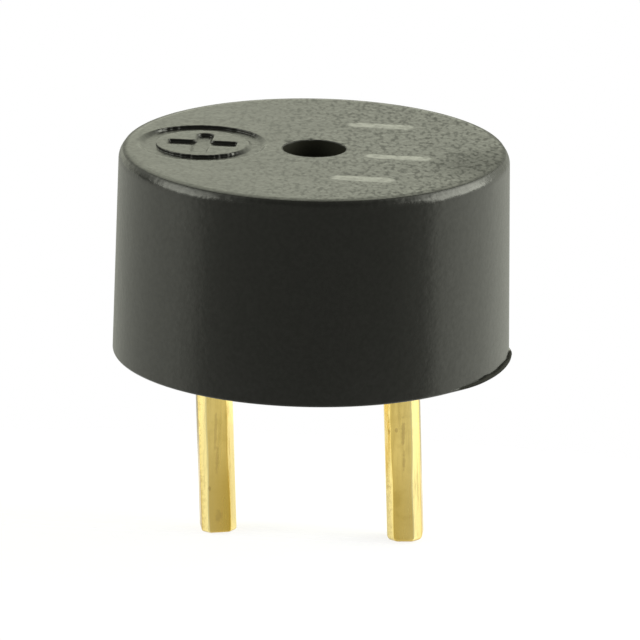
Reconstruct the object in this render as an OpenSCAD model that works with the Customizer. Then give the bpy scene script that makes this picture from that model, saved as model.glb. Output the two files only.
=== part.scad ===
// Magnetic buzzer for a printed circuit board, in millimetres.
//
// A moulded cup closes over a base unit: a board with two square pins, and on
// it a steel yoke, a core with its coil, a ring magnet and a plastic ring that
// carries a thin steel diaphragm. Resin seals the open end of the cup.
//
// The origin is on the seating plane, where the rim of the case meets the
// circuit board, on the case's axis, and so midway between the pins. +Z runs up
// through the sound hole and +X points away from the positive pin, which stands
// below the plus sign in the roof.

/* [Case] */
// Diameter of the case across its open end
case_base_d = 9; // [8.6:0.1:12]
// Height of the case above the seating plane
case_h = 4.76; // [4.5:0.02:8]
// Draft of the side wall, in degrees
case_draft = 1; // [0:0.25:3]
// Thickness of the side wall at the open end
case_wall = 0.55; // [0.4:0.05:0.7]
// Thickness of the roof
case_roof = 0.5; // [0.3:0.05:0.7]
// Width of the bevel round the roof, seen from above
roof_bevel_w = 0.11; // [0.05:0.01:0.2]
// Height of the bevel round the roof
roof_bevel_h = 0.18; // [0.1:0.01:0.3]
// Diameter of the sound hole
sound_hole_d = 1.43; // [0.8:0.01:2]
// Width of the chamfer round the mouth of the sound hole
sound_hole_chamfer = 0.04; // [0.02:0.01:0.1]
// Width of the ledge inside the case that presses on the support ring
ledge_w = 0.4; // [0.3:0.05:0.6]
// Width of the chamfer inside the open end
mouth_chamfer = 0.1; // [0.05:0.05:0.2]

/* [Moulded marks] */
// Outside diameter of the polarity mark, a plus sign in a ring
mark_d = 2.92; // [2.6:0.02:3]
// Width of the mark's grooves
mark_w = 0.42; // [0.2:0.02:0.46]
// Length of the plus sign's bars
mark_bar_l = 1.6; // [1:0.05:1.8]
// Depth of the mark's grooves
mark_depth = 0.07; // [0.05:0.01:0.2]
// Flat roof left between the mark and the bevel
mark_margin = 0.29; // [0.1:0.01:0.4]
// How far the moulding flash stands out of the rim
flash_reach = 0.07; // [0.03:0.01:0.12]
// Height of the moulding flash
flash_h = 0.1; // [0.05:0.01:0.15]
// Direction in which the flash stands out furthest, in degrees from +X
flash_angle = -12; // [-180:1:180]
// Angle from there to where the flash runs out, on either side
flash_half_span = 45; // [20:5:90]

/* [Pins] */
// Distance between the pins
pin_pitch = 4.3; // [3.6:0.05:5.1]
// Width across the flats of the square pin wire
pin_w = 0.8; // [0.5:0.02:1]
// How much the flat along each corner of the pin wire takes off the square
pin_corner_cut = 0.17; // [0.05:0.01:0.22]
// Length of a pin below the seating plane
pin_length = 4.35; // [2:0.05:8]
// Width of the chamfer round a pin's tip
pin_tip_chamfer = 0.08; // [0.03:0.01:0.12]
// Lean of both pins towards +X, about the middle of their length, in degrees
pin_lean = 2.6; // [0:0.1:4]
// Turn of the positive pin about its own length, in degrees
pin_turn_positive = 13; // [-45:1:45]
// Turn of the negative pin about its own length, in degrees
pin_turn_negative = 2; // [-45:1:45]
// How far a pin's inner end stays below the top of the board
pin_set_back = 0.1; // [0.05:0.05:0.3]

/* [Base] */
// Depth of the resin's face inside the rim
resin_recess = 0.08; // [0.04:0.02:0.2]
// Thickness of the sealing resin
resin_t = 0.37; // [0.33:0.01:0.6]
// Thickness of the board
board_t = 0.8; // [0.6:0.05:1]
// Radius of a solder joint at the board
solder_r = 0.85; // [0.75:0.05:1]
// Height of a solder joint
solder_h = 0.28; // [0.2:0.01:0.3]
// Play round a pin in its hole in the board
pin_play = 0.04; // [0.02:0.01:0.1]

/* [Magnet system] */
// Thickness of the yoke plate
yoke_t = 0.6; // [0.4:0.05:0.8]
// Diameter of the core inside the coil
core_d = 1.6; // [1.2:0.1:2]
// Diameter of the core's stub, which is pressed through yoke and board
core_stub_d = 1.1; // [0.8:0.1:1.2]
// Height of the core above the yoke
core_h = 1.1; // [0.9:0.05:1.3]
// Width of the chamfer round the top of the core
core_chamfer = 0.06; // [0.02:0.02:0.1]
// Thickness of the winding, from its inner to its outer face
coil_build = 1.12; // [0.8:0.02:1.2]
// Height of the winding
coil_h = 1; // [0.8:0.05:1.1]
// Thickness of the magnet ring, from its inner to its outer face
magnet_build = 1; // [0.8:0.05:1.1]
// Height of the magnet ring
magnet_h = 0.95; // [0.7:0.05:1.1]
// Width of the chamfer on the magnet's edges
magnet_chamfer = 0.08; // [0.04:0.02:0.12]
// Space between the winding and the magnet, which the lead wires use
coil_to_magnet = 0.16; // [0.14:0.01:0.3]
// Diameter of a lead wire
lead_d = 0.08; // [0.05:0.01:0.1]
// Diameter of the hole that a lead wire passes through
lead_hole_d = 0.36; // [0.2:0.02:0.4]

/* [Diaphragm] */
// Thickness of the diaphragm
diaphragm_t = 0.06; // [0.04:0.01:0.1]
// Gap between the core and the diaphragm
air_gap = 0.2; // [0.1:0.02:0.3]
// Width of the seat that carries the diaphragm's rim
diaphragm_seat_w = 0.3; // [0.2:0.05:0.35]
// Diameter of the weight on the diaphragm
weight_d = 3; // [2:0.1:4]
// Thickness of the weight on the diaphragm
weight_t = 0.3; // [0.2:0.02:0.4]
// Space between the diaphragm and the ledge above it
diaphragm_headroom = 0.14; // [0.08:0.02:0.2]

/* [Hidden] */
$fn = 96;

// Clearance of a round piece that sits in another with no play.
fit = 0.01;
// Clearance of a piece that drops freely into the case.
drop_in = 0.05;
// Overshoot of a cutting tool past the face that it cuts.
cut = 1;

positive = -1;
negative = 1;
black = [0.09, 0.09, 0.085];
steel = [0.62, 0.63, 0.65];
ferrite = [0.2, 0.2, 0.21];
copper = [0.72, 0.4, 0.2];
gold = [0.85, 0.7, 0.3];
tin = [0.75, 0.76, 0.78];
laminate = [0.55, 0.42, 0.2];
nylon = [0.86, 0.84, 0.78];

// Heights of the stack, from the seating plane up.
resin_z = resin_recess;
board_z = resin_z + resin_t;
yoke_z = board_z + board_t;
floor_z = yoke_z + yoke_t;
core_top_z = floor_z + core_h;
diaphragm_z = core_top_z + air_gap;
weight_z = diaphragm_z + diaphragm_t;
ledge_z = weight_z + diaphragm_headroom;
roof_z = case_h - case_roof;

// Radii, from the outside in.
case_base_r = case_base_d / 2;
bevel_z = case_h - roof_bevel_h;
bevel_r = case_base_r - bevel_z * tan(case_draft);
roof_flat_r = bevel_r - roof_bevel_w;
bore_r = case_base_r - case_wall;
chamber_r = bore_r - ledge_w;
stack_r = bore_r - drop_in;
core_r = core_d / 2;
coil_inner_r = core_r + fit;
coil_outer_r = coil_inner_r + coil_build;
magnet_inner_r = coil_outer_r + coil_to_magnet;
magnet_outer_r = magnet_inner_r + magnet_build;
ring_inner_r = magnet_outer_r + fit;
diaphragm_pocket_r = ring_inner_r + diaphragm_seat_w;
diaphragm_r = diaphragm_pocket_r - drop_in;

// The flash is a thin disc, set off centre so that it crosses the rim's circle
// at the two ends of its span.
flash_offset = flash_reach * (case_base_d + flash_reach)
    / (2 * (case_base_r * (1 - cos(flash_half_span)) + flash_reach));
flash_r = case_base_r + flash_reach - flash_offset;

// The pins, and the holes in the board that clear their lean and their corners.
pin_top_z = yoke_z - pin_set_back;
pin_corner_reach = norm([pin_w / 2, pin_w / 2 - pin_corner_cut]);
pin_hole_r = pin_corner_reach + board_t / 2 * tan(pin_lean) + pin_play;

// The lead wires run down beside the winding, then along under the board.
lead_x = coil_outer_r + lead_d / 2 + fit;
lead_top_z = floor_z + coil_h / 2;
lead_run_z = board_z - lead_d / 2 - fit;

// Where a pin's axis crosses a level z.
function pin_x(side, z) = side * pin_pitch / 2 - (z + pin_length / 2) * tan(pin_lean);

// Centre of the polarity mark, over the positive pin.
mark_x = positive * (roof_flat_r - mark_margin - mark_d / 2);

// A round tube from z = 0 up.
module tube(outer_r, inner_r, h) {
    difference() {
        cylinder(r = outer_r, h = h);
        translate([0, 0, -cut]) cylinder(r = inner_r, h = h + 2 * cut);
    }
}

// A wire of round section along straight runs, with a ball at each bend.
module wire(points, d) {
    for (i = [0 : len(points) - 2]) {
        run = points[i + 1] - points[i];
        length = norm(run);
        translate(points[i])
            rotate([0, acos(run.z / length), atan2(run.y, run.x)])
                cylinder(d = d, h = length, $fn = 24);
        if (i > 0) translate(points[i]) sphere(d = d, $fn = 24);
    }
}

// The frame of one pin, with Z up along it and its origin near the seating plane.
module at_pin(side) {
    translate([side * pin_pitch / 2, 0, -pin_length / 2])
        rotate([0, -pin_lean, 0]) translate([0, 0, pin_length / 2]) children();
}

// The case's outside, turned about Z: a drafted wall, a bevel and a flat roof.
module case_outside() {
    rotate_extrude() polygon([
        [0, 0],
        [case_base_r, 0],
        [bevel_r, bevel_z],
        [roof_flat_r, case_h],
        [0, case_h],
    ]);
}

// The case's inside: a wide bore for the base unit, then the sound chamber.
module case_inside() {
    translate([0, 0, -cut]) cylinder(r = bore_r, h = ledge_z + cut);
    cylinder(r = chamber_r, h = roof_z);
    translate([0, 0, -mouth_chamfer])
        cylinder(r1 = bore_r + 2 * mouth_chamfer, r2 = bore_r, h = 2 * mouth_chamfer);
}

// The sound hole, with a small chamfer at its mouth.
module sound_hole() {
    translate([0, 0, roof_z - cut]) cylinder(d = sound_hole_d, h = case_roof + 2 * cut);
    translate([0, 0, case_h - sound_hole_chamfer])
        cylinder(d1 = sound_hole_d, d2 = sound_hole_d + 4 * sound_hole_chamfer,
                 h = 2 * sound_hole_chamfer);
}

// The grooves of the polarity mark: a ring, and the two bars of a plus sign.
module polarity_mark() {
    translate([mark_x, 0, case_h - mark_depth]) {
        tube(mark_d / 2, mark_d / 2 - mark_w, mark_depth + cut);
        for (size = [[mark_bar_l, mark_w], [mark_w, mark_bar_l]])
            translate([-size.x / 2, -size.y / 2, 0]) cube([size.x, size.y, mark_depth + cut]);
    }
}

module case() {
    color(black) difference() {
        union() {
            case_outside();
            rotate([0, 0, flash_angle]) translate([flash_offset, 0, 0])
                cylinder(r = flash_r, h = flash_h);
        }
        case_inside();
        sound_hole();
        polarity_mark();
    }
}

// A moulded ring round the magnet, with a seat for the diaphragm's rim.
module support_ring() {
    color(nylon) translate([0, 0, floor_z]) difference() {
        tube(stack_r, ring_inner_r, ledge_z - floor_z);
        translate([0, 0, diaphragm_z - floor_z])
            cylinder(r = diaphragm_pocket_r, h = ledge_z - diaphragm_z + cut);
    }
}

// A thin steel disc, held down on its seat by the magnet.
module diaphragm() {
    color(steel) translate([0, 0, diaphragm_z]) cylinder(r = diaphragm_r, h = diaphragm_t);
}

// A steel disc welded to the middle of the diaphragm.
module diaphragm_weight() {
    color(steel) translate([0, 0, weight_z]) cylinder(d = weight_d, h = weight_t);
}

module magnet_ring() {
    color(ferrite) translate([0, 0, floor_z]) rotate_extrude() translate([magnet_inner_r, 0])
        polygon([
            [magnet_chamfer, 0],
            [magnet_build - magnet_chamfer, 0],
            [magnet_build, magnet_chamfer],
            [magnet_build, magnet_h - magnet_chamfer],
            [magnet_build - magnet_chamfer, magnet_h],
            [magnet_chamfer, magnet_h],
            [0, magnet_h - magnet_chamfer],
            [0, magnet_chamfer],
        ]);
}

module coil() {
    color(copper) translate([0, 0, floor_z]) tube(coil_outer_r, coil_inner_r, coil_h);
}

// The core: a steel pole whose stub is pressed through yoke and board.
module core() {
    color(steel) {
        translate([0, 0, board_z]) cylinder(d = core_stub_d, h = floor_z - board_z + fit);
        translate([0, 0, floor_z]) cylinder(r = core_r, h = core_h - core_chamfer);
        translate([0, 0, core_top_z - core_chamfer])
            cylinder(r1 = core_r, r2 = core_r - core_chamfer, h = core_chamfer);
    }
}

// The holes that yoke and board share: one for the core, two for the leads.
module shared_holes(z, t) {
    translate([0, 0, z - cut]) {
        cylinder(r = core_stub_d / 2 + fit, h = t + 2 * cut);
        for (side = [negative, positive])
            translate([0, side * lead_x, 0]) cylinder(d = lead_hole_d, h = t + 2 * cut);
    }
}

module yoke_plate() {
    color(steel) difference() {
        translate([0, 0, yoke_z]) cylinder(r = stack_r, h = yoke_t);
        shared_holes(yoke_z, yoke_t);
    }
}

module base_board() {
    color(laminate) difference() {
        translate([0, 0, board_z]) cylinder(r = stack_r, h = board_t);
        shared_holes(board_z, board_t);
        for (side = [negative, positive])
            translate([pin_x(side, board_z + board_t / 2), 0, board_z - cut])
                cylinder(r = pin_hole_r, h = board_t + 2 * cut);
    }
}

// The section of the pin wire: a square with a flat along each corner.
module pin_section() {
    half = pin_w / 2;
    straight = half - pin_corner_cut;
    polygon([
        [half, -straight], [half, straight], [straight, half], [-straight, half],
        [-half, straight], [-half, -straight], [-straight, -half], [straight, -half],
    ]);
}

// One pin, cut off from wire, with its tip chamfered on all four sides.
module pin(side, turn) {
    color(gold) at_pin(side) rotate([0, 0, turn]) difference() {
        translate([0, 0, -pin_length]) linear_extrude(pin_length + pin_top_z) pin_section();
        for (a = [0 : 90 : 270])
            rotate([0, 0, a]) translate([pin_w / 2 - pin_tip_chamfer, 0, -pin_length])
                rotate([0, 45, 0]) translate([0, -pin_w, -pin_w])
                    cube([pin_w, 2 * pin_w, 2 * pin_w]);
    }
}

// One end of the winding's wire: down through yoke and board, then to the solder.
module lead(side) {
    color(copper) wire([
        [0, side * lead_x, lead_top_z],
        [0, side * lead_x, lead_run_z],
        [pin_x(side, board_z) - side * solder_r / 2, side * solder_r / 2, lead_run_z],
    ], lead_d);
}

// A fillet of solder between the board and a pin, with the lead wire's end in it.
module solder(side, turn) {
    color(tin) difference() {
        at_pin(side) rotate_extrude() difference() {
            translate([0, board_z - solder_h]) square([solder_r, solder_h + fit]);
            translate([solder_r + fit, board_z - solder_h - fit])
                scale([(solder_r - pin_corner_reach) / solder_h, 1]) circle(r = solder_h);
        }
        translate([-cut - case_base_r, -cut - case_base_r, board_z])
            cube([2 * (case_base_r + cut), 2 * (case_base_r + cut), case_h]);
        pin(side, turn);
        lead(side);
    }
}

// The resin that closes the open end, round the pins, the solder and the leads.
module sealing_resin() {
    color(black) difference() {
        translate([0, 0, resin_z]) cylinder(r = bore_r - fit, h = resin_t);
        pin(positive, pin_turn_positive);
        pin(negative, pin_turn_negative);
        for (side = [negative, positive]) lead(side);
        solder(positive, pin_turn_positive);
        solder(negative, pin_turn_negative);
    }
}

case();
support_ring();
diaphragm();
diaphragm_weight();
magnet_ring();
coil();
core();
yoke_plate();
base_board();
pin(positive, pin_turn_positive);  // pin_positive
pin(negative, pin_turn_negative);  // pin_negative
solder(positive, pin_turn_positive);  // solder_positive
solder(negative, pin_turn_negative);  // solder_negative
lead(positive);  // coil_lead_positive
lead(negative);  // coil_lead_negative
sealing_resin();
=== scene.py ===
"""A magnetic buzzer for a circuit board, put together piece by piece.

Lengths are in millimetres up to the point where a mesh is made, and MM turns
them into metres. The origin is on the seating plane, on the axis of the case,
with +Z out through the sound hole and +X away from the positive pin.
"""

from functools import partial, reduce

import bmesh
import bpy
import numpy as np
from mathutils import Matrix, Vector
from mathutils.geometry import delaunay_2d_cdt


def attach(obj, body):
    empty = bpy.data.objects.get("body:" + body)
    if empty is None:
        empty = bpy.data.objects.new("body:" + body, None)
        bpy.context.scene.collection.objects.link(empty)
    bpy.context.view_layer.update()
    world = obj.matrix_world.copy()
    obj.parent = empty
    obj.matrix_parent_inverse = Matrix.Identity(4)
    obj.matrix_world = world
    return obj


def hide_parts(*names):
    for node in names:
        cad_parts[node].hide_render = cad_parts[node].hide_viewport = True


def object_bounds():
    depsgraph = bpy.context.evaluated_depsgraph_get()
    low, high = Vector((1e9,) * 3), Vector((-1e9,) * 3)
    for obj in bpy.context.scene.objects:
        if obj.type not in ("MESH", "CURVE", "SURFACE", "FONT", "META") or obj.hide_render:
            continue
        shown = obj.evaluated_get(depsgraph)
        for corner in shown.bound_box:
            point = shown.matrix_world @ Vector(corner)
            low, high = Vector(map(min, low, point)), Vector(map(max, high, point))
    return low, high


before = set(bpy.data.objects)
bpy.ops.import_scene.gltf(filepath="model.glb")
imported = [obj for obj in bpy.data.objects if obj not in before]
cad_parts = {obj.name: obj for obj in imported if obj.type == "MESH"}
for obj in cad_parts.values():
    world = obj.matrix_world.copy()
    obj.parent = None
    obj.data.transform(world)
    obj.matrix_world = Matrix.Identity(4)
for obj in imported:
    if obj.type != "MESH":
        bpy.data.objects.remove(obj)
cad_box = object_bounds()

# ---------------------------------------------------------------------------
# The camera looks at the buzzer from slightly above its rim, through a long
# lens that keeps the case's sides nearly parallel.
# ---------------------------------------------------------------------------

MM = 0.001
VIEW_AZIMUTH = np.radians(6.57)
VIEW_ELEVATION = np.radians(16.5)
VIEW_ROLL = np.radians(1.04)
VIEW_DISTANCE = 263.6
VIEW_OFFSET = 0.196  # of the point looked at, to the right of the axis
VIEW_HEIGHT = 0.719  # of that point above the seating plane
SENSOR_W = 36.0
LENS_TO_SENSOR = 18.16
NEAREST = 10.0
FURTHEST = 10000.0


def placed(axes, place):
    """The matrix of an object whose X, Y and Z axes are the rows of axes, at a place."""
    matrix = np.eye(4)
    matrix[:3, :3] = np.transpose(axes)
    matrix[:3, 3] = np.array(place) * MM
    return Matrix(matrix.tolist())


def heading(azimuth, elevation):
    """The direction at an azimuth, from -Y towards +X, and an elevation, both in radians."""
    level = np.cos(elevation)
    return np.array([np.sin(azimuth) * level, -np.cos(azimuth) * level, np.sin(elevation)])


to_camera = heading(VIEW_AZIMUTH, VIEW_ELEVATION)
level_right = heading(VIEW_AZIMUTH + np.pi / 2, 0.0)
level_up = np.cross(to_camera, level_right)
rolled_right = level_right * np.cos(VIEW_ROLL) + level_up * np.sin(VIEW_ROLL)
rolled_up = level_up * np.cos(VIEW_ROLL) - level_right * np.sin(VIEW_ROLL)
target = level_right * VIEW_OFFSET + np.array([0.0, 0.0, VIEW_HEIGHT])
stand = target + to_camera * VIEW_DISTANCE

camera_data = bpy.data.cameras.new("camera")
camera_data.sensor_width = SENSOR_W
camera_data.lens = LENS_TO_SENSOR * SENSOR_W
camera_data.clip_start = NEAREST * MM
camera_data.clip_end = FURTHEST * MM
camera = bpy.data.objects.new("camera", camera_data)
camera.matrix_world = placed([rolled_right, rolled_up, to_camera], stand)
bpy.context.scene.collection.objects.link(camera)
bpy.context.scene.camera = camera
bpy.context.scene.view_settings.view_transform = "Standard"

# ---------------------------------------------------------------------------
# The studio: an even pale surround with a darker gap where the camera stands,
# a pale backdrop behind the buzzer, and a soft box on either side of it.
# ---------------------------------------------------------------------------

# Radiance of the surround at azimuths from the camera's: the gap is in front, and the
# wall of the case reflects what lies a little below the horizon.
SURROUND = [
    (-165.0, 0.55), (-140.0, 0.82), (-105.0, 1.2), (-85.0, 1.42), (-74.0, 1.17),
    (-63.0, 0.58), (-42.0, 0.5), (0.0, 0.45), (46.0, 0.47), (72.0, 0.68),
    (78.0, 1.66), (100.0, 1.78), (130.0, 1.38), (163.0, 0.62),
]
BACKDROP = 1.41  # radiance of the backdrop, above the table's far edge
BACKDROP_SIDES = (120.0, 160.0)  # azimuths, to either side, where it starts and is whole
BACKDROP_FOOT = (-0.12, 0.02)  # rises where it starts and is whole; a rise is a sine
CEILING = 0.2  # radiance
CEILING_EDGE = (0.46, 0.95)  # rises where it starts and is whole
FLAGS = [(-117.0, 0.24, 0.15), (152.0, 0.05, 0.85)]  # cards: azimuth, rise and radiance
FLAG_WIDTH = (20.0, 5.0)  # degrees to either side of its middle where a flag ends and is whole
FLAG_HEIGHT = (0.2, 0.1)  # rises above and below its middle where it ends and is whole
TINT = (0.98, 1.0, 0.87, 1.0)
BACKDROP_TINT = (0.97, 1.0, 0.805, 1.0)
WHITE = (1.0, 1.0, 1.0, 1.0)


def add(tree, kind, inputs=None, **settings):
    """One shader node, with a value or another node's output for each input by name or number."""
    node = tree.nodes.new(kind)
    for name, value in settings.items():
        setattr(node, name, value)
    for socket, value in (inputs or {}).items():
        if isinstance(value, bpy.types.NodeSocket):
            tree.links.new(value, node.inputs[socket])
        else:
            node.inputs[socket].default_value = value
    return node


def math(tree, operation, *values, clamp=False):
    """The output of one Math node on numbers or outputs."""
    inputs = dict(enumerate(values))
    return add(tree, "ShaderNodeMath", inputs, operation=operation, use_clamp=clamp).outputs[0]


def total(tree, *terms):
    """The sum of numbers or outputs."""
    return reduce(partial(math, tree, "ADD"), terms)


def product(tree, *factors):
    """The product of numbers or outputs."""
    return reduce(partial(math, tree, "MULTIPLY"), factors)


def away_from(tree, value, middle):
    """How far a value is from a middle, on either side of it."""
    return math(tree, "ABSOLUTE", math(tree, "SUBTRACT", value, middle))


def hypotenuse(tree, across, along):
    """The square root of the sum of two squares."""
    squares = (product(tree, side, side) for side in (across, along))
    return math(tree, "SQRT", total(tree, *squares))


def ramp(tree, value, low, high, to_low=0.0, to_high=1.0, smooth=True):
    """value carried from low..high onto to_low..to_high, and held beyond it."""
    kind = "SMOOTHSTEP" if smooth else "LINEAR"
    inputs = {"Value": value, "From Min": low, "From Max": high}
    inputs.update({"To Min": to_low, "To Max": to_high})
    return add(tree, "ShaderNodeMapRange", inputs, interpolation_type=kind).outputs["Result"]


def mix(tree, factor, low, high):
    """The number low where factor is 0, high where it is 1."""
    inputs = {"Factor": factor, 2: low, 3: high}
    return add(tree, "ShaderNodeMix", inputs, data_type="FLOAT").outputs[0]


def mix_colour(tree, factor, low, high):
    """The colour low where factor is 0, high where it is 1."""
    inputs = {"Factor": factor, 6: low, 7: high}
    return add(tree, "ShaderNodeMix", inputs, data_type="RGBA").outputs[2]


def course(tree, value, stops):
    """The line through stops, pairs of a value and a height, read at value; level beyond them."""
    height = stops[0][1]
    for (low, _), (high, to) in zip(stops, stops[1:]):
        height = mix(tree, ramp(tree, value, low, high, smooth=False), height, to)
    return height


def xyz(tree, vector):
    """The three parts of a vector."""
    return add(tree, "ShaderNodeSeparateXYZ", {0: vector}).outputs[:]


def turned_about_z(tree, vector, angle):
    """A vector turned about Z."""
    inputs = {"Vector": vector, "Angle": angle}
    return add(tree, "ShaderNodeVectorRotate", inputs, rotation_type="Z_AXIS").outputs[0]


world = bpy.data.worlds.new("studio")
bpy.context.scene.world = world
world.use_nodes = True
tree = world.node_tree
tree.nodes.clear()
direction = add(tree, "ShaderNodeTexCoord").outputs["Generated"]
sideways, backwards, rise = xyz(tree, turned_about_z(tree, direction, -VIEW_AZIMUTH))
forwards = product(tree, backwards, -1.0)
azimuth = math(tree, "DEGREES", math(tree, "ARCTAN2", sideways, forwards))
behind = product(
    tree,
    ramp(tree, math(tree, "ABSOLUTE", azimuth), *BACKDROP_SIDES),
    ramp(tree, rise, *BACKDROP_FOOT),
)
radiance = mix(tree, behind, course(tree, azimuth, SURROUND), BACKDROP)
for flag_azimuth, flag_rise, flag_radiance in FLAGS:
    flag = product(
        tree,
        ramp(tree, away_from(tree, azimuth, flag_azimuth), *FLAG_WIDTH),
        ramp(tree, away_from(tree, rise, flag_rise), *FLAG_HEIGHT),
    )
    radiance = mix(tree, flag, radiance, flag_radiance)
radiance = mix(tree, ramp(tree, rise, *CEILING_EDGE), radiance, CEILING)
tint = mix_colour(tree, behind, TINT, BACKDROP_TINT)
seen = add(tree, "ShaderNodeLightPath").outputs["Is Camera Ray"]
background = add(tree, "ShaderNodeBackground", {
    "Color": mix_colour(tree, seen, tint, WHITE),
    "Strength": mix(tree, seen, radiance, 1.0),
})
add(tree, "ShaderNodeOutputWorld", {"Surface": background.outputs[0]})

LAMP_DISTANCE = 70.0


def soft_box(name, azimuth, elevation, width, height, radiance):
    """A lamp that faces the case, at an azimuth from the camera's and an elevation in degrees."""
    outwards = heading(VIEW_AZIMUTH + np.radians(azimuth), np.radians(elevation))
    side = np.cross([0.0, 0.0, 1.0], outwards)
    side /= np.linalg.norm(side)
    data = bpy.data.lights.new(name, "AREA")
    data.shape = "RECTANGLE"
    data.size = width * MM
    data.size_y = height * MM
    data.energy = radiance * np.pi * data.size * data.size_y
    data.color = TINT[:3]
    lamp = bpy.data.objects.new(name, data)
    axes = [side, np.cross(outwards, side), outwards]
    lamp.matrix_world = placed(axes, outwards * LAMP_DISTANCE)
    bpy.context.scene.collection.objects.link(lamp)


soft_box("soft_box_left", azimuth=-86.0, elevation=30.0, width=43.0, height=30.0, radiance=4.6)
soft_box("soft_box_right", azimuth=95.0, elevation=25.0, width=57.0, height=41.0, radiance=5.6)

# ---------------------------------------------------------------------------
# The table: a small pale sheet under the tips of the pins that takes their
# shadow. It thins out towards its edges, and from below it can't be seen.
# ---------------------------------------------------------------------------

TABLE_HALF_W = 18.0
TABLE_BACK = 8.0  # how far it reaches behind the pins
TABLE_FRONT = -19.2  # Y of its front edge
TABLE_FADE = (1.0, 0.5)  # shares of its half width and depth where it ends and is whole
TABLE_STEP = (-0.8, 0.8)  # Y of where it is thin, and of where it is whole
TABLE_APRON = 0.36  # how far the thin part in front covers
TABLE_APRON_END = (-19.0, -13.0)  # Y of where that ends, and of where it is whole
TABLE_PAINT = (0.4, 0.4, 0.4, 1.0)
TABLE_OWN_LIGHT = 0.72  # share of the table's brightness that no shadow takes away


def new_material(name):
    """A material with an empty node tree, and that tree."""
    material = bpy.data.materials.new(name)
    material.use_nodes = True
    material.node_tree.nodes.clear()
    return material, material.node_tree


def object_mm(tree):
    """Object coordinates in millimetres."""
    place = add(tree, "ShaderNodeTexCoord").outputs["Object"]
    inputs = {0: place, "Scale": 1.0 / MM}
    return add(tree, "ShaderNodeVectorMath", inputs, operation="SCALE").outputs[0]


table_top, tree = new_material("table_top")
x, y, _ = xyz(tree, object_mm(tree))
across = product(tree, x, 1.0 / TABLE_HALF_W)
back = product(tree, math(tree, "MAXIMUM", y, 0.0), 1.0 / TABLE_BACK)
beneath = add(tree, "ShaderNodeNewGeometry").outputs["Backfacing"]
whole = product(
    tree,
    ramp(tree, y, *TABLE_STEP, TABLE_APRON, 1.0),
    ramp(tree, hypotenuse(tree, across, back), *TABLE_FADE),
    ramp(tree, y, *TABLE_APRON_END),
    math(tree, "SUBTRACT", 1.0, beneath),
)
rays = add(tree, "ShaderNodeLightPath").outputs
kinds = ("Is Camera Ray", "Is Glossy Ray", "Is Transmission Ray")
shown = math(tree, "MINIMUM", total(tree, *(rays[kind] for kind in kinds)), 1.0)
glow = add(tree, "ShaderNodeEmission", {
    "Color": WHITE,
    "Strength": product(tree, shown, TABLE_OWN_LIGHT),
})
paint = add(tree, "ShaderNodeBsdfDiffuse", {"Color": TABLE_PAINT})
lit = add(tree, "ShaderNodeAddShader", {0: paint.outputs[0], 1: glow.outputs[0]})
clear = add(tree, "ShaderNodeBsdfTransparent")
top = add(tree, "ShaderNodeMixShader", {0: whole, 1: clear.outputs[0], 2: lit.outputs[0]})
add(tree, "ShaderNodeOutputMaterial", {"Surface": top.outputs[0]})

table_z = cad_box[0][2] / MM
corners = np.array([
    (-TABLE_HALF_W, TABLE_FRONT, table_z), (TABLE_HALF_W, TABLE_FRONT, table_z),
    (TABLE_HALF_W, TABLE_BACK, table_z), (-TABLE_HALF_W, TABLE_BACK, table_z),
])
table_data = bpy.data.meshes.new("table")
table_data.from_pydata((corners * MM).tolist(), [], [(0, 1, 2, 3)])
table_data.materials.append(table_top)
table = bpy.data.objects.new("table", table_data)
bpy.context.scene.collection.objects.link(table)

# ---------------------------------------------------------------------------
# The case: one cup moulded in black plastic, with a spark-eroded roof, smooth
# sides and a bevel between them. The polarity mark, a plus sign in a ring, is
# sunk into the roof, and a lip of flash stands out of the rim on one side.
# ---------------------------------------------------------------------------

RIM_R = 4.5
CASE_H = 4.76
DRAFT = np.tan(np.radians(1.0))
WALL = 0.55
ROOF = 0.5
LEDGE_Z = 3.35
LEDGE_W = 0.4
MOUTH_CHAMFER = 0.1
HOLE_R = 0.715
HOLE_EDGE_R = 0.025
HOLE_FOOT_R = 0.015
CHAMBER_CORNER_R = 0.06
BORE_CORNER_R = 0.05
BEVEL_W = 0.11
BEVEL_H = 0.18
BEVEL_FOOT_R = 0.34  # of the fold between the side and the bevel
BEVEL_TOP_R = 0.035  # of the fold between the bevel and the roof
ROLL_OFF = 0.018  # how far the roof has sunk where it meets the bevel
ROLL_W = 0.16
ROLL_R = 0.35
ROLL_MARGIN = 0.03  # flat roof that belongs to the outside's own grid
MARGIN = 0.06  # flat roof that belongs to the grid of a hole or groove

bevel_z = CASE_H - BEVEL_H
bevel_r = RIM_R - bevel_z * DRAFT
roof_r = bevel_r - BEVEL_W
bore_r = RIM_R - WALL
chamber_r = bore_r - LEDGE_W


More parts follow.
